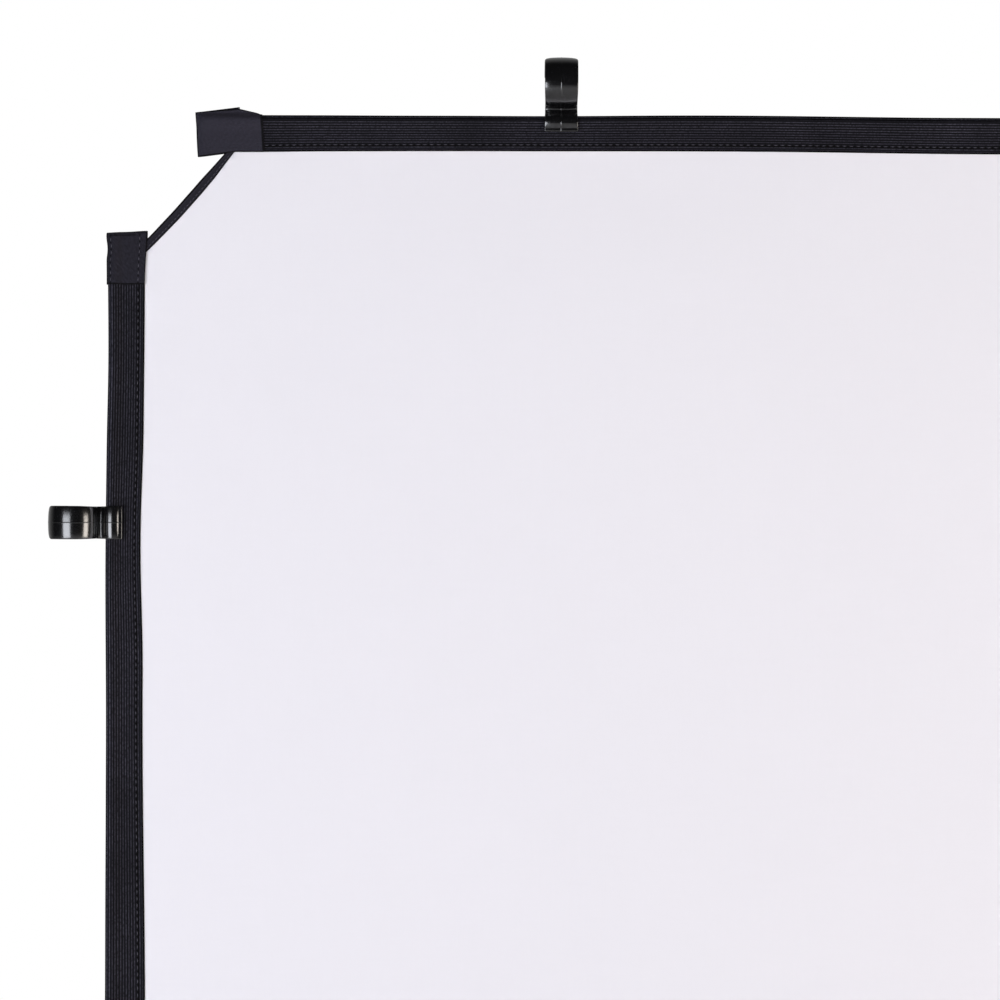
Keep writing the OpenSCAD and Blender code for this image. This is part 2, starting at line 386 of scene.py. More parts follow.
def needle_hole_shade(tree, along, across, row, pitch, size):
    """1 in the needle holes of a stitched row, midway between its stitches, and 0 elsewhere: where painted shade
    darkens the holes.
    """
    step = add(tree, "Math", [add(tree, "Math", [along, pitch], "DIVIDE")], "FRACT")
    off = add(tree, "Math", [add(tree, "Math", [step, 0.5], "SUBTRACT"), pitch], "MULTIPLY")
    side = add(tree, "Math", [add(tree, "Math", [across, row], "SUBTRACT"), 1.2], "MULTIPLY")
    squares = [add(tree, "Math", [d, d], "MULTIPLY") for d in (off, side)]
    reach = add(tree, "Math", [add(tree, "Math", squares, "ADD")], "SQRT")
    return add(tree, "MapRange", [reach, 0.5 * size, size, 1.0, 0.0])


def painted_shading(tree, place, stops, length):
    """Painted light and shade: a brightness, 1 for a level of 0.5, that changes along a place in millimetres, from
    (place, level) pairs."""
    ramp = add(tree, "ValToRGB", {"Fac": add(tree, "Math", [place, length], "DIVIDE")})
    elements = ramp.color_ramp.elements
    while len(elements) < len(stops):
        elements.new(1.0)
    for element, (at, level) in zip(elements, stops):
        element.position = at / length
        element.color = (level, level, level, 1.0)
    return add(tree, "Math", [add(tree, "RGBToBW", [ramp]), 2.0], "MULTIPLY")


def woven_elastic(look, sizes, on_side):
    """Black woven elastic: dull polyester yarn over rubber cords, with a painted highlight on the floats of each
    rib's crest and painted shade in its grooves, painted light and shade across its fold, beside its stitching and
    at its selvedge, and needle holes painted dark along its stitching."""
    # The level and the side hems get copies of this material, which differ in their painted light and shade at the
    # fold and in the length of their floats
    material, tree, shader = new_material(
        "woven_elastic_" + ("side" if on_side else "level"),
        {"Roughness": 0.7, "Specular IOR Level": 0.08},
    )
    along, across = cloth_axes(tree)
    pitch, first = sizes.rib_pitch / MM, sizes.rib_start / MM
    # 1 on a rib's crest and 0 in a groove: where the painted highlight falls, with painted shade in the grooves
    turn = add(
        tree,
        "Math",
        [add(tree, "Math", [across, first], "SUBTRACT"), 2 * math.pi / pitch],
        "MULTIPLY",
    )
    crest = add(tree, "MapRange", [add(tree, "Math", [turn], "COSINE"), -0.3, 0.8])
    # A float is one yarn's length on a rib, about 1.2 mm
    floats = add(
        tree,
        "CombineXYZ",
        [
            add(tree, "Math", [along, 1.9 if on_side else 1.2], "DIVIDE"),
            add(tree, "Math", [across, 1.6 / pitch], "MULTIPLY"),
        ],
    )
    speck = add(tree, "TexNoise", {"Vector": floats, "Scale": 1.0, "Detail": 1.0, "Roughness": 0.6})
    bright = add(tree, "MapRange", [speck, 0.2, 0.75])
    # Slow changes in the painted highlight's strength along the band, about 40 mm long
    highlight_drift = add(
        tree,
        "TexNoise",
        {"Vector": add(tree, "TexCoord").outputs["Object"], "Scale": 1 / 0.04, "Detail": 2.0},
    )
    some = add(tree, "Math", [highlight_drift, 0.9, 0.25], "MULTIPLY_ADD")
    # Painted highlight: the floats on the crests are mixed towards the lighter sheen colour
    lit = add(tree, "Math", [add(tree, "Math", [bright, crest], "MULTIPLY"), some], "MULTIPLY")
    colour = add(
        tree,
        "Mix",
        {"Factor": lit, "A": rgba(look.elastic_colour), "B": rgba(look.elastic_float_sheen)},
        data_type="RGBA",
    )
    # Painted light and shade across the hem: dark lines at the fold, in the groove beside the stitching and at the
    # selvedge, with light lines beside them
    stitch_at, edge = sizes.stitch_line / MM, HEM_W / MM
    fold = FOLD_SHADING_SIDE if on_side else FOLD_SHADING_LEVEL
    shade = painted_shading(
        tree,
        across,
        fold + [
            (stitch_at - 1.0, 0.5),
            (stitch_at - 0.3, 0.4),
            (stitch_at + 0.7, 0.08),
            (stitch_at + 1.3, 0.45),
            (edge - 1.9, 0.75),
            (edge - 1.3, 0.5),
            (edge - 0.8, 0.04),
        ],
        edge + 1,
    )
    # Needle holes painted dark: painted shade, which also dips the bump
    holes = needle_hole_shade(tree, along, across, stitch_at, sizes.stitch_pitch / MM, 0.95)
    level = add(
        tree, "Math", [shade, add(tree, "Math", [holes, -0.85, 1.0], "MULTIPLY_ADD")], "MULTIPLY"
    )
    toned = add(tree, "VectorMath", {0: colour.outputs["Result"], "Scale": level}, "SCALE")
    height = add(tree, "Math", [holes, -1.2, speck], "MULTIPLY_ADD")
    bump = add(tree, "Bump", {"Height": height, "Strength": 0.7, "Distance": 0.2 * MM})
    feed(tree, shader, {"Base Color": toned, "Normal": bump})
    return material


# Levels of painted light and shade for painted_shading(), in from the fold: a level hem's fold turns away from the
# light and is painted dark, and a side hem's fold has a painted light strip where its bulge faces the light
FOLD_SHADING_LEVEL = [
    (0.7, 0.05), (1.1, 0.12), (1.45, 1.0), (1.8, 0.5), (2.2, 0.12), (3.0, 0.18), (3.7, 0.5)
]
FOLD_SHADING_SIDE = [
    (0.4, 0.05), (0.8, 0.45), (1.2, 0.85), (3.2, 0.95), (3.8, 0.55), (4.1, 0.25), (4.5, 0.5)
]


def polyester_twill(look, on_side):
    """Black polyester twill webbing: a matt, slightly purple black, with fine slanting lines, painted shade along
    its edges, fold and mouth, and on a side pocket painted shade all over, along a crease and in its needle holes."""
    # The level and the side pockets get copies of this material, which differ in their painted shade and in the
    # scale of their fuzz
    material, tree, shader = new_material(
        "polyester_twill_" + ("side" if on_side else "level"),
        {"Roughness": 0.8, "Specular IOR Level": 0.12, "Sheen Weight": 0.03},
    )
    along, across = cloth_axes(tree)
    # The twill's lines are 0.6 mm apart, and are drawn at 1.3 mm, where they show
    slant = add(tree, "CombineXYZ", [add(tree, "Math", [along, across], "ADD"), across])
    lines = add(
        tree,
        "TexWave",
        {"Vector": slant, "Scale": 0.24, "Distortion": 2.5, "Detail": 2.0},
        wave_type="BANDS",
        bands_direction="X",
    )
    fuzz = add(
        tree,
        "TexNoise",
        {"Vector": slant, "Scale": 0.6 if on_side else 1.1, "Detail": 3.0, "Roughness": 0.7},
    )
    height = add(tree, "Math", [lines.outputs["Fac"], 0.08, fuzz], "MULTIPLY_ADD")
    level = add(tree, "MapRange", [height, 0.36, 0.74])
    colour = add(
        tree,
        "Mix",
        {"Factor": level, "A": rgba(look.webbing_colour), "B": rgba(look.webbing_floats)},
        data_type="RGBA",
    )
    # Painted shade within 1 mm of an edge, the fold or the mouth, where the webbing turns down
    fold, mouth = pocket_ends(on_side)
    width, length = WEBBING_W / MM, (mouth - fold) / MM
    run = add(tree, "Math", [along], "ABSOLUTE")
    to_edge = add(tree, "Math", [across, add(tree, "Math", [width, across], "SUBTRACT")], "MINIMUM")
    to_end = add(
        tree,
        "Math",
        [run, add(tree, "Math", [length - (0.4 if on_side else 0.9), run], "SUBTRACT")],
        "MINIMUM",
    )
    inside = add(
        tree, "MapRange", [add(tree, "Math", [to_edge, to_end], "MINIMUM"), 0.35, 0.85, 0.15, 1.0]
    )
    if on_side:
        # Painted shade: a side pocket's webbing is drawn darker all over than a level pocket's
        inside = add(tree, "Math", [inside, 0.64], "MULTIPLY")
        # Painted shade along a crease that crosses the webbing just inside its fold
        off = add(tree, "Math", [add(tree, "Math", [run, 2.0], "SUBTRACT")], "ABSOLUTE")
        creased = add(tree, "Math", [across, 10.5, 8.0], "COMPARE")
        dark = add(tree, "MapRange", [off, 0.25, 0.8, 0.6, 0.0])
        dark = add(tree, "Math", [dark, creased], "MULTIPLY")
        inside = add(tree, "Math", [inside, add(tree, "Math", [1.0, dark], "SUBTRACT")], "MULTIPLY")
        # Painted shade in the needle holes of the side pocket's two rows of stitches
        rows = [
            needle_hole_shade(tree, along, across, row * width, SIDE_STITCH / MM, 0.85)
            for row in SIDE_ROWS
        ]
        holes = add(tree, "Math", rows, "MAXIMUM")
        inside = add(
            tree,
            "Math",
            [inside, add(tree, "Math", [holes, -0.8, 1.0], "MULTIPLY_ADD")],
            "MULTIPLY",
        )
    toned = add(tree, "VectorMath", {0: colour.outputs["Result"], "Scale": inside}, "SCALE")
    bump = add(tree, "Bump", {"Height": height, "Strength": 0.6, "Distance": 0.2 * MM})
    feed(tree, shader, {"Base Color": toned, "Normal": bump})
    return material


def grosgrain(look, sizes):
    """Black grosgrain binding tape: close ribs across it with a dull shine, painted shade at its folded edges and
    painted highlights just inside them.
    """
    material, tree, shader = new_material(
        "grosgrain_tape", {"Roughness": 0.65, "Specular IOR Level": 0.15, "Sheen Weight": 0.02}
    )
    along, across = cloth_axes(tree)
    # Ribs lie 0.9 mm apart across the tape
    ribs = add(tree, "Math", [add(tree, "Math", [along, 2 * math.pi / 0.9], "MULTIPLY")], "SINE")
    fuzz = add(
        tree,
        "TexNoise",
        {"Vector": add(tree, "CombineXYZ", [along, across]), "Scale": 0.9, "Detail": 2.0},
    )
    height = add(tree, "Math", [ribs, 0.12, fuzz], "MULTIPLY_ADD")
    colour = add(
        tree,
        "Mix",
        {"Factor": height, "A": rgba(look.tape_colour), "B": rgba(look.tape_floats)},
        data_type="RGBA",
    )
    width = sizes.tape_width / MM
    # Painted light and shade across the tape: dark at its folded edges, lighter lines just inside them
    level = painted_shading(
        tree,
        across,
        [
            (0.6, 0.03),
            (1.1, 0.12),
            (1.4, 0.6),
            (2.6, 0.45),
            (width - 1.9, 0.45),
            (width - 1.3, 0.75),
            (width - 0.9, 0.3),
            (width - 0.6, 0.03),
        ],
        width,
    )
    toned = add(tree, "VectorMath", {0: colour.outputs["Result"], "Scale": level}, "SCALE")
    bump = add(tree, "Bump", {"Height": height, "Strength": 0.6, "Distance": 0.15 * MM})
    feed(tree, shader, {"Base Color": toned, "Normal": bump})
    return material


def moulded_nylon(look):
    """Injection-moulded black nylon off a polished mould: deep black, sharp reflections, with a
    slight waviness from shrinkage and faint rub marks."""
    material, tree, shader = new_material(
        "moulded_nylon", {"IOR": 1.53, "Specular IOR Level": 0.95}
    )
    place = add(tree, "TexCoord").outputs["Object"]
    # Shrinkage waves about 9 mm across, and rub marks about 1 mm
    waves = add(tree, "TexNoise", {"Vector": place, "Scale": 1 / 0.009, "Detail": 1.0})
    rubs = add(
        tree, "TexNoise", {"Vector": place, "Scale": 1 / 0.001, "Detail": 3.0, "Roughness": 0.7}
    )
    rough = add(
        tree, "MapRange", [rubs, 0.35, 0.75, look.clip_roughness, look.clip_roughness + 0.06]
    )
    colour = add(
        tree,
        "Mix",
        {"Factor": rubs, "A": rgba(look.clip_colour), "B": rgba(look.clip_worn)},
        data_type="RGBA",
    )
    bump = add(tree, "Bump", {"Height": waves, "Strength": 0.12, "Distance": 0.4 * MM})
    feed(tree, shader, {"Base Color": colour.outputs["Result"], "Roughness": rough, "Normal": bump})
    return material


def polyester_thread(look):
    """Bonded polyester sewing thread: three twisted plies, with a slight shine, and a painted highlight on the
    plies with painted shade between them.
    """
    material, tree, shader = new_material(
        "polyester_thread", {"Roughness": 0.45, "Specular IOR Level": 0.4}
    )
    along, across = cloth_axes(tree)
    # Painted highlight on the plies and painted shade between them, mixed along the twist
    twist = add(
        tree,
        "TexWave",
        {"Vector": add(tree, "CombineXYZ", [along, across]), "Scale": 0.5, "Distortion": 1.0},
        bands_direction="DIAGONAL",
    )
    colour = add(
        tree,
        "Mix",
        {
            "Factor": twist.outputs["Fac"],
            "A": rgba(look.thread_shade),
            "B": rgba(look.thread_shine),
        },
        data_type="RGBA",
    )
    feed(tree, shader, {"Base Color": colour.outputs["Result"]})
    return material


def streaked(name, base, streak, roughness, length, width):
    """A hard surface with streaks along X and Z: drawn glass fibre, or vinyl that was dipped."""
    material, tree, shader = new_material(name, {"Roughness": roughness})
    place = add(tree, "TexCoord").outputs["Object"]
    scaled = add(tree, "Mapping", {"Vector": place, "Scale": (1 / length, 1 / width, 1 / length)})
    grain = add(tree, "TexNoise", {"Vector": scaled, "Scale": 1.0, "Detail": 3.0})
    colour = add(
        tree,
        "Mix",
        {"Factor": grain, "A": rgba(linear(base)), "B": rgba(linear(streak))},
        data_type="RGBA",
    )
    bump = add(tree, "Bump", {"Height": grain, "Strength": 0.3, "Distance": 0.1 * MM})
    feed(tree, shader, {"Base Color": colour.outputs["Result"], "Normal": bump})
    return material


def painted_floor():
    """Matt white studio paint, rolled on: even, with a faint stipple."""
    material, tree, shader = new_material("painted_floor", {"Roughness": 0.85})
    place = add(tree, "TexCoord").outputs["Object"]
    # Roller stipple about 4 mm across
    stipple = add(tree, "TexNoise", {"Vector": place, "Scale": 1 / 0.004, "Detail": 2.0})
    colour = add(
        tree,
        "Mix",
        {"Factor": stipple, "A": rgba(linear("#F2F2F3")), "B": rgba(linear("#EDEDEE"))},
        data_type="RGBA",
    )
    feed(tree, shader, {"Base Color": colour.outputs["Result"]})
    return material


# ---- Properties ----------------------------------------------------------------------------------


def length_property(name, description, default):
    return bpy.props.FloatProperty(
        name=name,
        description=description,
        default=default,
        min=0,
        unit="LENGTH",
        subtype="DISTANCE",
    )


def colour_property(name, description, default):
    return bpy.props.FloatVectorProperty(
        name=name, description=description, default=linear(default), subtype="COLOR", min=0, max=1
    )


class CoverSizes(bpy.types.PropertyGroup):
    """Sizes of the soft pieces and of the clips, beside those that the frame sets."""

    elastic_thickness: length_property("Elastic", "Thickness of a layer of elastic", 0.9 * MM)
    closing_angle: bpy.props.FloatProperty(
        name="Closing angle",
        description="Angle at which the layers close behind the rod",
        default=30,
    )
    rib_pitch: length_property("Rib pitch", "Distance between the elastic's ribs", 1.71 * MM)
    rib_depth: length_property("Rib depth", "Depth of the grooves between ribs", 0.3 * MM)
    rib_start: length_property("First rib", "Middle of the first rib, in from the fold", 4.65 * MM)
    rib_count: bpy.props.IntProperty(
        name="Ribs", description="Ribs on the elastic", default=9, min=1
    )
    stitch_line: length_property("Stitch line", "Hem stitching, in from the outer fold", 20.2 * MM)
    stitch_pitch: length_property("Stitch", "Length from one hem stitch to the next", 4.65 * MM)
    webbing_thickness: length_property("Webbing", "Thickness of the pockets' webbing", 0.8 * MM)
    tape_width: length_property("Tape", "Width of the corner tape, folded", 6.0 * MM)
    tape_bow: length_property("Tape bow", "How far the taut corner tape bows in", 1.5 * MM)
    jaw_wall: length_property("Jaw wall", "Wall of a clip's jaw", 3.0 * MM)
    lip_radius: length_property("Lip radius", "Rounding of a jaw's lips", 0.75 * MM)
    bead_radius: length_property("Bead radius", "Rolled lip at a ring's open end", 2.2 * MM)
    neck_blend: length_property("Neck blend", "Hollow rounding between ring and jaw", 1.5 * MM)
    heel_angle: bpy.props.FloatProperty(
        name="Heel angle", description="Where the ring ends beside the neck", default=157
    )
    edge_rounding: length_property("Edge rounding", "Rounding of a clip's edges", 0.4 * MM)
    corner_rounding: length_property(
        "Corner rounding", "Rounding of a ring's far corners", 2.0 * MM
    )
    crown: length_property("Crown", "How much a clip's faces bulge across it", 0.6 * MM)
    draft: bpy.props.FloatProperty(
        name="Draft", description="Taper of a clip's faces from its parting line", default=1.0
    )
    waist: length_property("Waist", "How much narrower a clip is at its neck", 0.8 * MM)


class CoverLook(bpy.types.PropertyGroup):
    """Colours and finishes."""

    sheet_colour: colour_property("Sheet", "White nylon, a little cool", "#F3F1F7")
    elastic_colour: colour_property("Elastic", "Black polyester yarn", "#0D0D11")
    # Painted highlight: the elastic's floats, drawn lighter where they catch the light
    elastic_float_sheen: colour_property("Elastic floats", "Yarn that catches the light", "#4C4A56")
    webbing_colour: colour_property("Webbing", "Black twill, in its hollows", "#24232B")
    webbing_floats: colour_property("Webbing floats", "Black twill, on its lines", "#393742")
    tape_colour: colour_property("Tape", "Black grosgrain", "#121116")
    tape_floats: colour_property("Tape floats", "Black grosgrain on its ribs", "#2C2A35")
    # Painted highlight and painted shade: the black thread where it shines and in its hollows
    thread_shine: colour_property("Thread", "Black thread where it shines", "#A3A1AE")
    thread_shade: colour_property("Thread, between plies", "Black thread in its hollows", "#4A4852")
    clip_colour: colour_property("Clip", "Black nylon", "#060607")
    clip_worn: colour_property("Clip, rubbed", "Black nylon where it is rubbed", "#101012")
    clip_roughness: bpy.props.FloatProperty(
        name="Clip roughness",
        description="Roughness of the moulded clips",
        default=0.16,
        min=0,
        max=1,
    )


# ---- Pieces --------------------------------------------------------------------------------------


class COVER_OT_sheet(bpy.types.Operator):
    """Stretch the white sheet, with its four cut-off corners"""

    bl_idname = "cover.sheet"
    bl_label = "Diffusion sheet"

    def execute(self, context):
        low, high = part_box("fabric_panel")
        width, height = high.x - low.x, high.z - low.z
        cells = math.ceil(width / SHEET_CELL)
        bm = new_bmesh()
        bmesh.ops.create_grid(bm, x_segments=cells, y_segments=cells, size=0.5)
        stand = Matrix.Diagonal((width, 1, height, 1)) @ Matrix.Rotation(math.pi / 2, 4, "X")
        bmesh.ops.transform(bm, matrix=stand, verts=bm.verts)
        corner = cut_corner()
        for flip_x in (1, -1):
            for flip_z in (1, -1):
                a, b = (Vector((p.x * flip_x, 0, p.z * flip_z)) for p in corner)
                run = b - a
                out = Vector((run.z, 0, -run.x))
                out = out if out.dot(a) > 0 else -out
                geometry = bm.verts[:] + bm.edges[:] + bm.faces[:]
                bmesh.ops.bisect_plane(
                    bm, geom=geometry, plane_co=a, plane_no=out, clear_outer=True, dist=1e-6
                )
        for v in bm.verts:
            v.co.y += sheet_rise(v.co.x, v.co.z)
        flat_area = sum(face.calc_area() for face in bm.faces)
        material = woven_nylon(context.scene.cover_look)
        piece = finished(
            bm,
            "diffusion_sheet",
            material,
            replaces=["fabric_panel"],
            closed=False,
        )
        thick = piece.modifiers.new("Cloth thickness", "SOLIDIFY")
        thick.thickness = 0.75 * SHEET_T
        thick.offset = 0
        return {"FINISHED"}


def cut_corner():
    """The two ends of the sheet's cut at the top right corner, from the CAD sheet's own corners."""
    points = [v.co for v in frame["nodes"]["fabric_panel"].data.vertices]
    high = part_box("fabric_panel")[1]
    near = 0.1 * MM
    on_top = max((p for p in points if p.z > high.z - near), key=lambda p: p.x)
    on_side = max((p for p in points if p.x > high.x - near), key=lambda p: p.z)
    return on_top, on_side


def sheet_rise(x, z):
    """How far the taut sheet stands off its plane: long, shallow waves that die out at the hems."""
    inside = min(HALF_W - abs(x), HALF_H - abs(z)) - HEM_W
    corner = (HALF_W + HALF_H - abs(x) - abs(z)) / math.sqrt(2) - 0.085
    still = smooth(2 * MM, 90 * MM, min(inside, corner))
    slow = noise.noise(Vector((x / 0.32, z / 0.38, 3.1)))
    pull = noise.noise(Vector((x / 0.13, z / 0.15, 7.7)))
    return still * (1.6 * slow + 0.35 * pull) * MM


class COVER_OT_hems(bpy.types.Operator):
    """Weave and fold the four elastic hems"""

    bl_idname = "cover.hems"
    bl_label = "Elastic hems"

    def execute(self, context):
        sizes, look = context.scene.cover_sizes, context.scene.cover_look
        materials = woven_elastic(look, sizes, False), woven_elastic(look, sizes, True)
        section = hem_section(sizes)
        for seed, (name, way) in enumerate(HEMS.items()):
            low, high = hem_box("hem_band_" + name, way)
            bm = new_bmesh()

            def shape(x, number, point, way=way, seed=seed):
                return Vector((x, point[1], hem_point(x, point[0], way, seed)))

            sweep(bm, section, steps(low.x, high.x, HEM_STEP), shape, across_of=lambda p: p[0])
            finished(
                bm,
                "elastic_hem_" + name,
                materials[way[2]],
                way,
                replaces=["hem_band_" + name],
            )
        return {"FINISHED"}


def hem_section(sizes):
    """Closed outline of the folded elastic, as (in from the fold, through the cover)."""
    slope = math.radians(sizes.closing_angle)
    foot = HEM_R * (1 + math.sin(slope))
    turn = [math.radians(angle) for angle in steps(0, 90 + sizes.closing_angle, 6)]
    front = [(HEM_R * (1 - math.cos(a)), HEM_R * math.sin(a)) for a in turn]
    front += [(u, hem_half(u, sizes)) for u in steps(foot, HEM_W, sizes.rib_pitch / 4)[1:]]
    front = [(u, y - groove(u, sizes) * min(1, y / HEM_R * 3)) for u, y in front]
    # The selvedge rounds down to the sheet
    front += [(HEM_W + 0.15 * MM, 0.55 * hem_half(HEM_W, sizes))]
    tunnel = HEM_R - sizes.elastic_thickness
    inside = [(HEM_W, SLIT), (HEM_R + 6 * MM, SLIT)]
    inside += [
        (HEM_R - tunnel * math.cos(math.radians(a)), tunnel * math.sin(math.radians(a)))
        for a in steps(0, 90 + sizes.closing_angle, 15)[::-1]
    ]
    # Round the fold from the front selvedge to the rear one, then in along the slit and back
    return (
        [(u, -y) for u, y in front[::-1]]
        + front[1:]
        + inside
        + [(u, -y) for u, y in inside[-2::-1]]
    )


def groove(u, sizes):
    """Depth of the elastic's grooves: between its ribs, at its fold and beside its selvedge."""
    first = sizes.rib_start - sizes.rib_pitch / 2
    last = first + sizes.rib_count * sizes.rib_pitch
    depth = 0.9 * sizes.rib_depth * hump(u, first - 1.7 * MM, 0.5 * MM)
    depth += 1.3 * sizes.rib_depth * hump(u, sizes.stitch_line + 0.9 * MM, 0.6 * MM)
    if first < u < last:
        crest = abs(math.sin(math.pi * (u - first) / sizes.rib_pitch))
        depth += sizes.rib_depth * (1 - crest**0.7)
    return depth


class COVER_OT_stitches(bpy.types.Operator):
    """Sew the stitches along the hems, on their front and their back"""

    bl_idname = "cover.stitches"
    bl_label = "Hem stitches"

    def execute(self, context):
        sizes, look = context.scene.cover_sizes, context.scene.cover_look
        material = polyester_thread(look)
        for seed, (name, way) in enumerate(HEMS.items()):
            low, high = hem_box("hem_band_" + name, way)
            rng = random.Random(seed)
            bm = new_bmesh()
            flat = hem_half(sizes.stitch_line, sizes)
            first = math.ceil((low.x + UNDER_POCKET) / sizes.stitch_pitch)
            for number in range(first, int((high.x - UNDER_POCKET) / sizes.stitch_pitch) + 1):
                x = number * sizes.stitch_pitch
                z = hem_point(x, sizes.stitch_line, way, seed)
                for face in (-1, 1):
                    lean = rng.gauss(0, 0.05)
                    stitch(bm, (x, face * flat, z), lean, 0.45 * sizes.stitch_pitch, THREAD_W)
            finished(bm, "hem_stitches_" + name, material, way)
        return {"FINISHED"}


def stitch(bm, at, lean, length, width):
    """One stitch: a short swell of thread along X that dips into the cloth at both ends."""
    made = bmesh.ops.create_uvsphere(bm, u_segments=6, v_segments=4, radius=0.5)["verts"]
    lie = Matrix.Diagonal((width, 0.8 * width, length, 1))
    turn = Matrix.Rotation(lean, 4, "Y") @ Matrix.Rotation(math.pi / 2, 4, "Y")
    bmesh.ops.transform(bm, matrix=Matrix.Translation(at) @ turn @ lie, verts=made)


class COVER_OT_pockets(bpy.types.Operator):
    """Fold the webbing pockets over the hems' ends, and sew them"""

    bl_idname = "cover.pockets"
    bl_label = "End pockets"

    def execute(self, context):
        sizes, look = context.scene.cover_sizes, context.scene.cover_look
        materials = polyester_twill(look, False), polyester_twill(look, True)
        thread = bpy.data.materials["polyester_thread"]
        for seed, (name, way) in enumerate(HEM_ENDS.items()):
            pocket = Pocket("end_pocket_" + name, way, sizes, seed)
            bm = new_bmesh()
            sweep(
                bm,
                pocket.section(),
                pocket.stations(),
                pocket.place,
                closed=False,
                cap=False,
                across_of=lambda p: p[0] * WEBBING_W,
            )
            piece = finished(
                bm,
                "webbing_pocket_" + name,
                materials[way[2]],
                way,
                replaces=["end_pocket_" + name],
                closed=False,
            )
            wall = piece.modifiers.new("Webbing thickness", "SOLIDIFY")
            wall.thickness = sizes.webbing_thickness
            wall.offset = 0
            # A level hem's rows of stitches are inside its pocket's fold
            if pocket.on_side:
                bm = new_bmesh()
                for at, lean in pocket.stitches():
                    stitch(bm, at, lean, 0.45 * SIDE_STITCH, THREAD_W)
                finished(bm, "pocket_stitches_" + name, thread, way)
        return {"FINISHED"}


def pocket_ends(on_side):
    """How far along its hem a pocket's fold and mouth are. A side pocket is a little shorter."""
    name = "left_upper" if on_side else "top_left"
    low, high = hem_box("end_pocket_" + name, HEM_ENDS[name])
    return (low.x + 1 * MM, high.x + 0.5 * MM) if on_side else (low.x, high.x)


class Pocket:
    """A strip of webbing that runs from the mouth along the front, folds, and runs back behind."""

    def __init__(self, node, way, sizes, seed):
        self.top = hem_box(node, way)[1].z
        self.on_side, self.sizes, self.seed = way[2], sizes, seed
        self.rng = random.Random(100 + seed)
        self.fold, self.mouth = pocket_ends(self.on_side)
        self.bend = 0.6 * MM
        self.peak = self.fold + 29.5 * MM
        self.lean = -1.3 * MM if self.on_side else 1.8 * MM
        # On a level hem the empty end droops from the peak, on the front less than behind
        self.droop = [math.radians(angle + self.rng.uniform(-0.3, 0.3)) for angle in (4.9, 7.2)]
        self.askew = math.radians(self.rng.uniform(0.2, 0.6))

    def section(self):
        """Across the webbing, from its outer edge to the sheet's side, as shares of its width."""
        return [(t, 0) for t in steps(0, 1, 1 / 40)]

    def stations(self):
        """Along the webbing: negative on the front, positive behind, with the fold at 0."""
        length = self.mouth - self.fold
        back = steps(self.bend * 2, length, 1.2 * MM)
        if not self.on_side:
            at = self.peak - self.fold
            back = sorted([s for s in back if abs(s - at) > 0.5 * MM] + [at, at + 0.3 * MM])
        turn = [k * MM for k in (-0.9, -0.55, -0.25, 0, 0.25, 0.55, 0.9)]
        return [-s for s in back[::-1]] + turn + back

    def edges(self, x, rear):
        """Heights of the outer and the sheet's-side edge at x along the hem."""
        if self.on_side:
            flare = 1 - smooth(self.fold, self.mouth, x)
            slip = math.tan(self.askew) * (x - self.mouth) * (1 if rear else 0)
            drawn_in = 0.85 * MM * hump(x, self.fold + 10.5 * MM, 9 * MM)
            outer = 0.4 * MM - drawn_in + 0.4 * MM * flare
            return outer + slip, -HEM_W - 0.6 * MM - 1.4 * MM * flare + slip
        before = max(self.peak - x, 0)
        outer = self.top - (0 if rear else 1.3 * MM) - before * math.tan(self.droop[rear])
        if x > self.peak:
            down = min((x - self.peak) / (self.mouth - 1.5 * MM - self.peak), 1)
            outer = (self.top - 1.3 * MM) * (1 - down) ** 0.72 - (0.6 * MM if rear else 0)
        inner = -HEM_W - 0.5 * MM - max(self.peak - 4 * MM - x, 0) * math.tan(math.radians(7.6))
        return outer, inner - (0.3 * MM if rear else 0)

    def depth(self, x, z):
        """Half the thickness of what the webbing lies on, eased as taut cloth would."""
        reach = 1.3 * MM
        shares = [-1, -0.5, 0, 0.5, 1]
        under = [hem_half(-z + reach * k, self.sizes) for k in shares]
        filled = 1 if self.on_side else smooth(self.fold, self.fold + 4.2 * MM, x)
        lift = 0.12 * MM * noise.noise(Vector((x / 0.009, z / 0.009, self.seed)))
        return filled * sum(under) / len(under) + self.bend + max(lift, -0.1 * MM)

    def place(self, station, number, point):
        share = point[0]
        rear = station > 0
        x = self.fold + abs(station)
        outer, inner = self.edges(x, rear)
        z = mix(outer, inner, share)
        turn = min(abs(station) / (2 * self.bend), 1)
        y = self.depth(x, z) * math.sin(turn * math.pi / 2) * (1 if rear else -1)
        waver = 0.2 * MM * noise.noise(Vector((share * 3, self.seed, 1.5)))
        lean = self.lean * (share - 0.25)
        if self.on_side:
            lean *= 1 - smooth(self.fold, self.mouth, x)
        return Vector((x + lean + waver, y, z))

    def stitches(self):
        """Where a side pocket's stitches lie, and how each leans."""
        made = []
        for row in SIDE_ROWS:
            for number in range(1, int((self.mouth - self.fold) / SIDE_STITCH) + 1):
                for face in (-1, 1):
                    at = self.place(face * number * SIDE_STITCH, 0, (row, 0))
                    at.y += self.sizes.webbing_thickness / 2 * face
                    made.append((at, self.rng.gauss(0, 0.08)))
        return made


class COVER_OT_tapes(bpy.types.Operator):
    """Bind the four cut-off corners with folded tape"""

    bl_idname = "cover.tapes"
    bl_label = "Corner tapes"

    def execute(self, context):
        sizes, look = context.scene.cover_sizes, context.scene.cover_look
        material = grosgrain(look, sizes)
        thread = bpy.data.materials["polyester_thread"]
        for seed, (name, way) in enumerate(CORNERS.items()):
            tape = CornerTape(sizes, seed)
            bm = new_bmesh()
            sweep(
                bm,
                tape.section(),
                [share * tape.length for share in steps(-0.07, 1.07, 1 / 60)],
                tape.place,
                across_of=lambda p: -p[0],
            )
            finished(
                bm,
                "binding_tape_" + name,
                material,
                way,
                replaces=["corner_tape_" + name],
            )
            bm = new_bmesh()
            for at, lean in tape.stitches():
                stitch(bm, at, lean, 2.0 * MM, 0.4 * MM)
            finished(bm, "tape_stitches_" + name, thread, way)
        return {"FINISHED"}


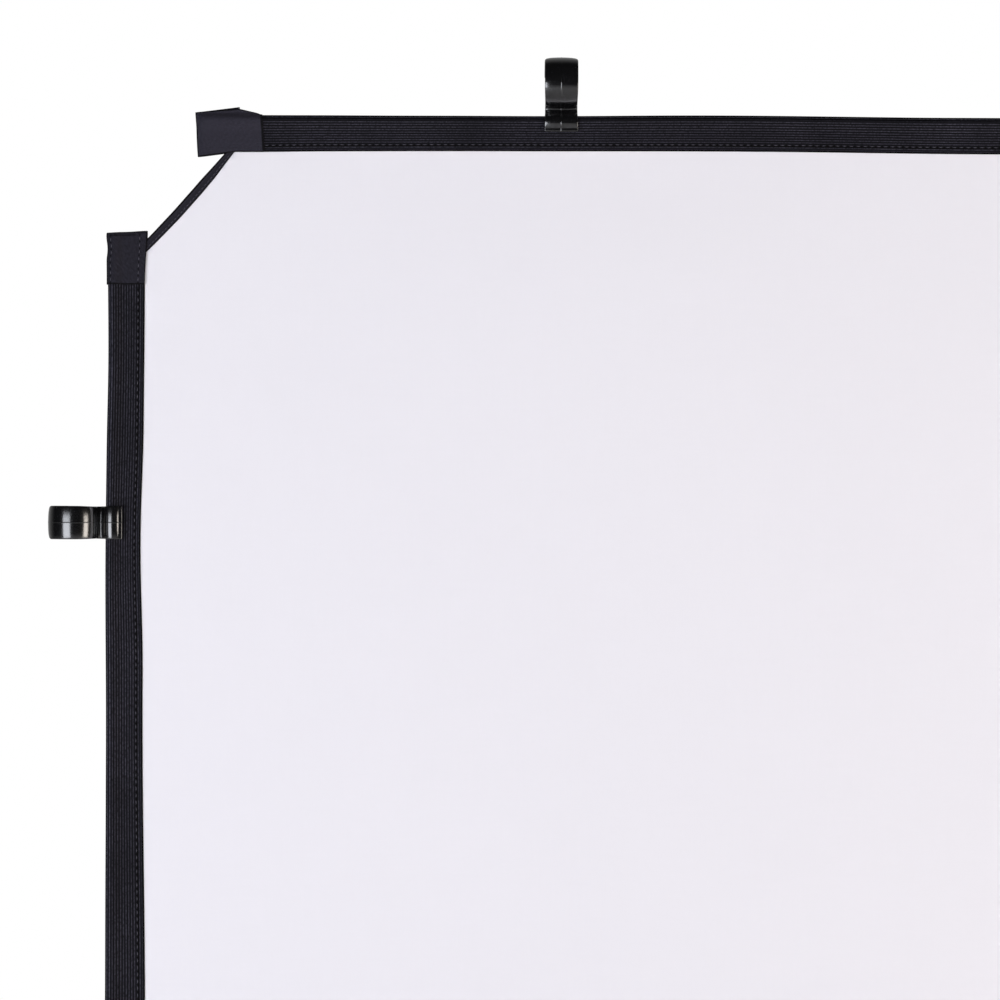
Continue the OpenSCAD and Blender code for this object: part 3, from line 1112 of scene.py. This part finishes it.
class CornerTape:
    """A folded tape along a cut-off corner, in hem space, from the level hem to the side hem."""

    def __init__(self, sizes, seed):
        self.sizes, self.seed = sizes, seed
        top, side = cut_corner()
        # The CAD sheet's cut runs a little inside the tape's fold
        a = Vector((HALF_W - top.x, 0, top.z - HALF_H))
        b = Vector((HALF_W - side.x, 0, side.z - HALF_H))
        self.run = (b - a).normalized()
        self.out = Vector((self.run.z, 0, -self.run.x))
        self.fold = 0.8 * MM + sizes.tape_bow / 2
        self.start = a + self.run * ((-HEM_W - a.z) / self.run.z)
        self.end = a + self.run * ((HEM_W - a.x) / self.run.x)
        self.length = (self.end - self.start).length

    def section(self):
        """Closed outline: (out from the cut, through the cover)."""
        half = 1.0 * MM
        width = self.sizes.tape_width
        nose = arc((-half, 0), half, 90, -90, 0.3 * MM)
        outer = [Vector((-width + 0.2 * MM, half))] + nose + [Vector((-width + 0.2 * MM, -half))]
        lip = [(-width, -0.6 * half), (-width, -SLIT), (-1.6 * MM, -SLIT)]
        return outer + [Vector(p) for p in lip] + [Vector((u, -y)) for u, y in lip[::-1]]

    def place(self, run, number, point):
        station = run / self.length
        bow = 4 * station * (1 - station)
        width = smooth(-0.05, 0.35, station)
        share = -point[0] / self.sizes.tape_width
        inward = self.sizes.tape_bow * bow * mix(0.7, 1.1, share)
        inward += (1.2 - 1.6 * share) * MM * (1 - width)
        kink = 0.1 * MM * noise.noise(Vector((station * 7, self.seed, 0)))
        at = mix(self.start, self.end, station)
        at = at + self.out * (self.fold + point[0] - inward + kink)
        return Vector(
            (at.x, point[1] * (1 + 0.08 * noise.noise(Vector((station * 23, 5, 0)))), at.z)
        )

    def stitches(self):
        rng = random.Random(self.seed)
        angle = math.atan2(-self.run.z, self.run.x)
        made = []
        for station in steps(0.03, 0.97, 1 / 27):
            for face in (-1, 1):
                at = self.place(
                    station * self.length, 0, (-0.7 * self.sizes.tape_width, face * 1.05 * MM)
                )
                made.append((at, angle + rng.gauss(0, 0.08)))
        return made


class COVER_OT_clips(bpy.types.Operator):
    """Mould the snap clips: a ring for the frame's tube and a jaw for the hem"""

    bl_idname = "cover.clips"
    bl_label = "Snap clips"

    def execute(self, context):
        sizes, look = context.scene.cover_sizes, context.scene.cover_look
        material = moulded_nylon(look)
        for name, way in HEM_ENDS.items():
            clip = Clip(name, way, sizes)
            bm = new_bmesh()
            sweep(bm, clip.outline, clip.stations(), clip.place)
            rims = [e for e in bm.edges if clip.is_rim(e)]
            bmesh.ops.recalc_face_normals(bm, faces=bm.faces)
            bmesh.ops.bevel(
                bm,
                geom=rims,
                offset=sizes.edge_rounding,
                offset_type="OFFSET",
                affect="EDGES",
                segments=4,
                profile=0.5,
                material=-1,
            )
            finished(
                bm,
                "snap_clip_" + name,
                material,
                way,
                body="clip_" + name,
                replaces=["clip_" + name],
            )
        return {"FINISHED"}


# The flat between a jaw's round and its lip faces this many degrees towards the mouth
LIP_FLAT = 5
# How far out from the rod a clip is narrowest, and how far from there it has its full width
NECK_AT, NECK_REACH = 11 * MM, 13 * MM


class Clip:
    """A clip's outline as (through the cover, out from the rod's axis), and its drafted width."""

    def __init__(self, name, way, sizes):
        back = hem_place(*way).inverted()
        mount = MOUNTS["tube_ring_" + name]
        self.low, self.high = hem_box("clip_" + name, way)
        self.rod = back @ Vector(JOINTS["clip_swivel_" + name]["pos_m"])
        self.tube = back @ Vector(mount["pos_m"])
        self.bore = mount["dims"]["r_mm"] * MM
        self.sizes = sizes
        self.middle = (self.low.x + self.high.x) / 2
        self.outline = self.draw()
        self.normals = self.facing()

    def draw(self):
        s = self.sizes
        rod, tube = Vector((0, 0)), Vector((0, self.tube.z - self.rod.z))
        ring = self.high.z - self.tube.z
        jaw_bore = HEM_R + 0.3 * MM
        jaw = jaw_bore + s.jaw_wall
        slot = HEM_R + 0.15 * MM
        lip_at = self.low.z - self.rod.z + s.lip_radius
        slot_top = -math.sqrt(jaw_bore**2 - slot**2)
        blend = crossing(rod, jaw + s.neck_blend, tube, ring + s.neck_blend, left=True)
        bead_out = self.bore + s.bead_radius - 0.01 * MM
        bead_back = ring - s.bead_radius
        bead = tube + Vector((bead_back, math.sqrt(bead_out**2 - bead_back**2)))
        heel_radius = (ring - self.bore) / 2 + 0.01 * MM
        heel_angle = math.radians(s.heel_angle)
        heel = tube + (self.bore + heel_radius - 0.01 * MM) * Vector(
            (math.sin(heel_angle), math.cos(heel_angle))
        )
        lips = {side: Vector((side * (slot + s.lip_radius), lip_at)) for side in (-1, 1)}
        flat = Vector((math.cos(math.radians(LIP_FLAT)), -math.sin(math.radians(LIP_FLAT))))
        past = math.degrees(math.acos((flat.dot(lips[1]) + s.lip_radius) / jaw))
        meet = {side: -90 + side * (90 - LIP_FLAT - past) for side in (-1, 1)}
        blends = {-1: Vector((-abs(blend.x), blend.y)), 1: Vector((abs(blend.x), blend.y))}
        bead_top = crossing(tube, ring, bead, s.bead_radius, left=True)
        bead_in = crossing(tube, self.bore, bead, s.bead_radius, left=False)
        heel_in = crossing(tube, self.bore, heel, heel_radius, left=True)
        heel_out = crossing(tube, ring, heel, heel_radius, left=False)
        path = [Vector((-slot, slot_top)), Vector((-slot, 0.5 * (slot_top + lip_at)))]
        path += self.turn(lips[-1], s.lip_radius, 0, 180 + LIP_FLAT, clockwise=True)
        side = self.turn(rod, jaw, meet[-1], bearing(rod, blends[-1]), clockwise=True)
        path += self.flat(path[-1], side[0]) + side
        for centre, radius, start, end, clockwise in (
            (blends[-1], s.neck_blend, rod, tube, False),
            (tube, ring, blends[-1], bead_top, True),
            (bead, s.bead_radius, bead_top, bead_in, True),
            (tube, self.bore, bead_in, heel_in, False),
            (heel, heel_radius, heel_in, heel_out, True),
            (tube, ring, heel_out, blends[1], True),
            (blends[1], s.neck_blend, tube, rod, False),
        ):
            path += self.turn(
                centre, radius, bearing(centre, start), bearing(centre, end), clockwise
            )
        path += self.turn(rod, jaw, bearing(rod, blends[1]), meet[1], clockwise=True)
        lip = self.turn(lips[1], s.lip_radius, -LIP_FLAT, 180, clockwise=True)
        path += self.flat(path[-1], lip[0]) + lip
        path += [Vector((slot, 0.5 * (slot_top + lip_at)))]
        bore_ends = [bearing(rod, (x, slot_top)) for x in (slot, -slot)]
        path += self.turn(rod, jaw_bore, *bore_ends, clockwise=False)
        return [p for i, p in enumerate(path) if (p - path[i - 1]).length > 0.02 * MM]

    def flat(self, start, end):
        """Points along a straight edge, close to its ends, which keep it crisp."""
        return [start + (end - start) * share for share in (0.06, 0.5, 0.94)]

    def turn(self, centre, radius, start, end, clockwise):
        """An arc from one bearing to another, the way that is asked for."""
        while clockwise and end > start:
            end -= 360
        while not clockwise and end < start:
            end += 360
        return arc(centre, radius, start, end)

    def facing(self):
        """The way out of the plastic at each point of the outline."""
        after = self.outline[1:] + self.outline[:1]
        runs = [b - self.outline[i - 1] for i, b in enumerate(after)]
        return [Vector((-run.y, run.x)).normalized() for run in runs]

    def stations(self):
        """Across the clip, close together at the fine raised line where the mould's halves met."""
        half = (self.high.x - self.low.x) / 2
        near = [0.1 * MM, 0.22 * MM, 0.4 * MM, 0.9 * MM, 2 * MM]
        ways = near + steps(2 * MM, half, 0.9 * MM)[1:]
        return [self.middle + w for w in [-w for w in ways[::-1]] + ways]

    def place(self, x, number, point):
        half = (self.high.x - self.low.x) / 2
        away = abs(x - self.middle)
        line = 0.1 * MM if away < 0.15 * MM else 0
        fall = away * math.tan(
            math.radians(self.sizes.draft)
        ) + self.sizes.crown * (away / half) ** 4
        # A thin lip has room for less of it
        fall *= mix(0.3, 1, smooth(-5 * MM, -2 * MM, point.y))
        at = point + self.normals[number] * (line - fall)
        # The neck is a little narrower than the jaw and the ring, whose far corners are rounded
        radius = self.sizes.corner_rounding
        past = max(point.y - (self.high.z - self.rod.z - radius), 0)
        less = 0.5 * self.sizes.waist * hump(point.y, NECK_AT, NECK_REACH)
        less += radius - math.sqrt(max(radius**2 - min(past, radius) ** 2, 0))
        return Vector(
            (self.middle + (x - self.middle) * (1 - less / half), at.x, self.rod.z + at.y)
        )

    def is_rim(self, edge):
        """Edges of the outline at the clip's two flat sides."""
        return any(len(face.verts) > 4 for face in edge.link_faces)


class COVER_OT_rods(bpy.types.Operator):
    """Give the rods and their caps, which the frame holds, their finish"""

    bl_idname = "cover.rods"
    bl_label = "Rods and caps"

    def execute(self, context):
        fibre = streaked("pultruded_glass_fibre", "#D9D4C0", "#C9C2A8", 0.35, 0.08, 0.0006)
        vinyl = streaked("dipped_vinyl", "#3A3A3C", "#2C2C2E", 0.5, 0.003, 0.003)
        for node, piece in frame["nodes"].items():
            for word, material in (("hem_rod", fibre), ("rod_cap", vinyl)):
                if node.startswith(word):
                    for slot in piece.material_slots:
                        slot.material = material
        return {"FINISHED"}


class COVER_OT_stage(bpy.types.Operator):
    """Set up the camera, the lights, the white surround and the floor"""

    bl_idname = "cover.stage"
    bl_label = "Camera, lights and floor"

    def execute(self, context):
        scene = context.scene
        scene.view_settings.view_transform = "Standard"
        aim = Vector((-0.2478, 0, 0.2539))
        # How far the camera is from the cover, how much of it is in view, and its slight roll
        distance, across, tilt = 3.2, 0.676, math.radians(0.24)
        camera = bpy.data.objects.new("camera", bpy.data.cameras.new("camera"))
        camera.data.sensor_width = 36
        camera.data.lens = 36 * distance / across
        camera.matrix_world = (
            Matrix.Translation(
                aim - Vector((0, distance, 0))
            ) @ Matrix.Rotation(-tilt, 4, "Y") @ Matrix.Rotation(math.pi / 2, 4, "X")
        )
        scene.collection.objects.link(camera)
        scene.camera = camera
        # Azimuth from straight in front, height, distance, size, watts, tint, and shows in gloss
        for name, azimuth, height, far, size, watts, tint, shines in (
            ("softbox_left", -33, -0.1, 2.4, (1.3, 1.0), 32, "#F4F7FF", True),
            ("softbox_right", 60, -0.15, 2.5, (1.0, 1.1), 31.5, "#FFF6EC", True),
            ("fill_above", 8, 1.7, 2.8, (1.5, 1.0), 17, "#FFFFFF", False),
            ("softbox_back", 155, 0.9, 2.6, (1.4, 1.2), 42, "#FFFFFF", False),
        ):
            light = bpy.data.lights.new(name, "AREA")
            light.shape = "RECTANGLE"
            light.size, light.size_y = size
            light.energy = watts
            light.color = linear(tint)
            box = bpy.data.objects.new(name, light)
            a = math.radians(azimuth)
            box.location = (aim.x + far * math.sin(a), -far * math.cos(a), height)
            toward = Vector((aim.x, 0, 0.2)) - box.location
            box.rotation_euler = toward.to_track_quat("-Z", "Y").to_euler()
            box.visible_camera = False
            box.visible_glossy = shines
            scene.collection.objects.link(box)
        scene.world = studio_world()
        bm = bmesh.new()
        bmesh.ops.create_circle(bm, cap_ends=True, radius=4.2, segments=96)
        mesh = bpy.data.meshes.new("floor")
        bmesh.ops.translate(bm, verts=bm.verts, vec=(0, 0, CAD_BOX[0][2] - 2 * MM))
        bm.to_mesh(mesh)
        bm.free()
        mesh.materials.append(painted_floor())
        floor = bpy.data.objects.new("floor", mesh)
        scene.collection.objects.link(floor)
        return {"FINISHED"}


def studio_world():
    """A surround that the camera sees white, and that lights the cover from behind only."""
    world = bpy.data.worlds.new("studio")
    world.use_nodes = True
    tree = world.node_tree
    tree.nodes.clear()
    way = add(tree, "SeparateXYZ", [add(tree, "TexCoord").outputs["Generated"]])
    behind = add(tree, "MapRange", [way.outputs["Y"], 0.1, 0.8, 0.02, 0.5])
    plain = add(tree, "Background", {"Color": (1, 1, 1, 1), "Strength": 1.0})
    shaded = add(tree, "Background", {"Color": (1, 1, 1, 1), "Strength": behind})
    seen = add(tree, "MixShader", [add(tree, "LightPath").outputs["Is Camera Ray"], shaded, plain])
    add(tree, "OutputWorld", {"Surface": seen})
    return world


class COVER_PT_panel(bpy.types.Panel):
    """Lists the pieces in the order they are made"""

    bl_idname = "COVER_PT_panel"
    bl_label = "Diffusion cover"
    bl_space_type = "VIEW_3D"
    bl_region_type = "UI"
    bl_category = "Cover"

    def draw(self, context):
        for operator in PIECES:
            self.layout.operator(operator.bl_idname)
        for group in (context.scene.cover_sizes, context.scene.cover_look):
            for name in group.__annotations__:
                self.layout.prop(group, name)


PIECES = (
    COVER_OT_stage,
    COVER_OT_hems,
    COVER_OT_sheet,
    COVER_OT_stitches,
    COVER_OT_pockets,
    COVER_OT_tapes,
    COVER_OT_clips,
    COVER_OT_rods,
)
CLASSES = (CoverSizes, CoverLook, *PIECES, COVER_PT_panel)


def register():
    for cls in CLASSES:
        bpy.utils.register_class(cls)
    bpy.types.Scene.cover_sizes = bpy.props.PointerProperty(type=CoverSizes)
    bpy.types.Scene.cover_look = bpy.props.PointerProperty(type=CoverLook)


def unregister():
    del bpy.types.Scene.cover_look
    del bpy.types.Scene.cover_sizes
    for cls in reversed(CLASSES):
        bpy.utils.unregister_class(cls)


def main():
    register()
    for operator in PIECES:
        getattr(bpy.ops.cover, operator.bl_idname.split(".")[1])()


if __name__ == "__main__":
    main()
